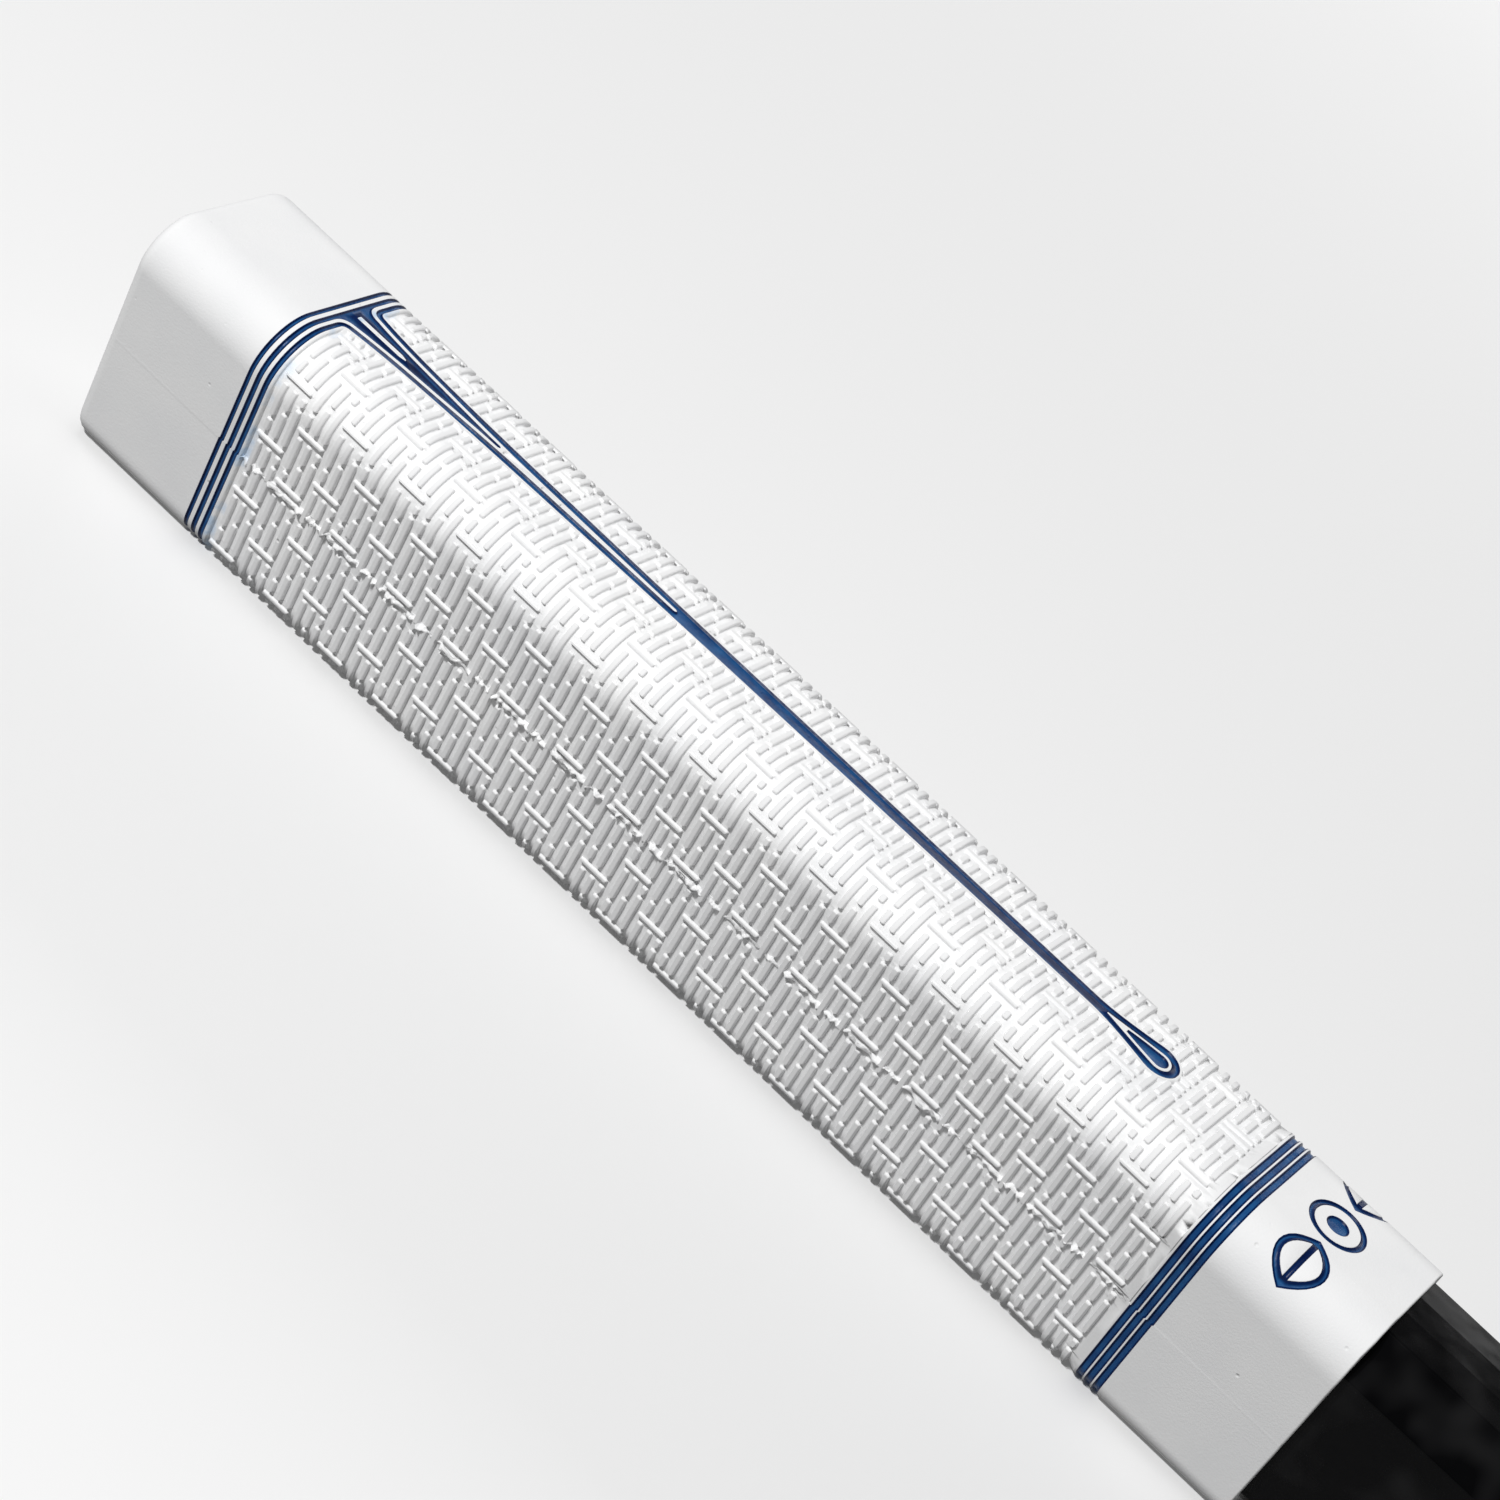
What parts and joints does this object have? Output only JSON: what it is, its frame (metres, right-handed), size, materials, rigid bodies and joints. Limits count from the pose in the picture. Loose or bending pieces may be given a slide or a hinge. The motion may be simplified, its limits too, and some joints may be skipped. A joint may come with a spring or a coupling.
{
  "type": "golf putter grip",
  "caption": "Oversize golf putter grip with a flat front, slanted sides, raised basket texture, blue alignment line and a faceted core beyond the tip.",
  "frame": {"origin": "centre of the shaft bore's mouth, at the tip end", "axes": "+X along the bore, the way the shaft leaves the grip; +Z out of the flat front face that carries the alignment line; Y across"},
  "size_m": [0.2667, 0.0318, 0.0406],
  "materials": {
    "skin": "satin",
    "paint": "satin",
    "core": "gloss",
    "foam": "matte",
    "sleeve": "satin"
  },
  "bodies": {
    "root": {"outer_skin": "skin", "core_shell": "core", "foam_filler": "foam", "shaft_sleeve": "sleeve", "butt_plate": "sleeve", "tip_collar": "core", "butt_stripe_1": "paint", "butt_stripe_2": "paint", "butt_stripe_3": "paint", "tip_stripe_1": "paint", "tip_stripe_2": "paint", "tip_stripe_3": "paint", "alignment_line": "paint", "alignment_drop": "paint", "emblem_ring": "paint", "emblem_leaf_left": "paint", "emblem_leaf_right": "paint"}
  },
  "joints": []
}
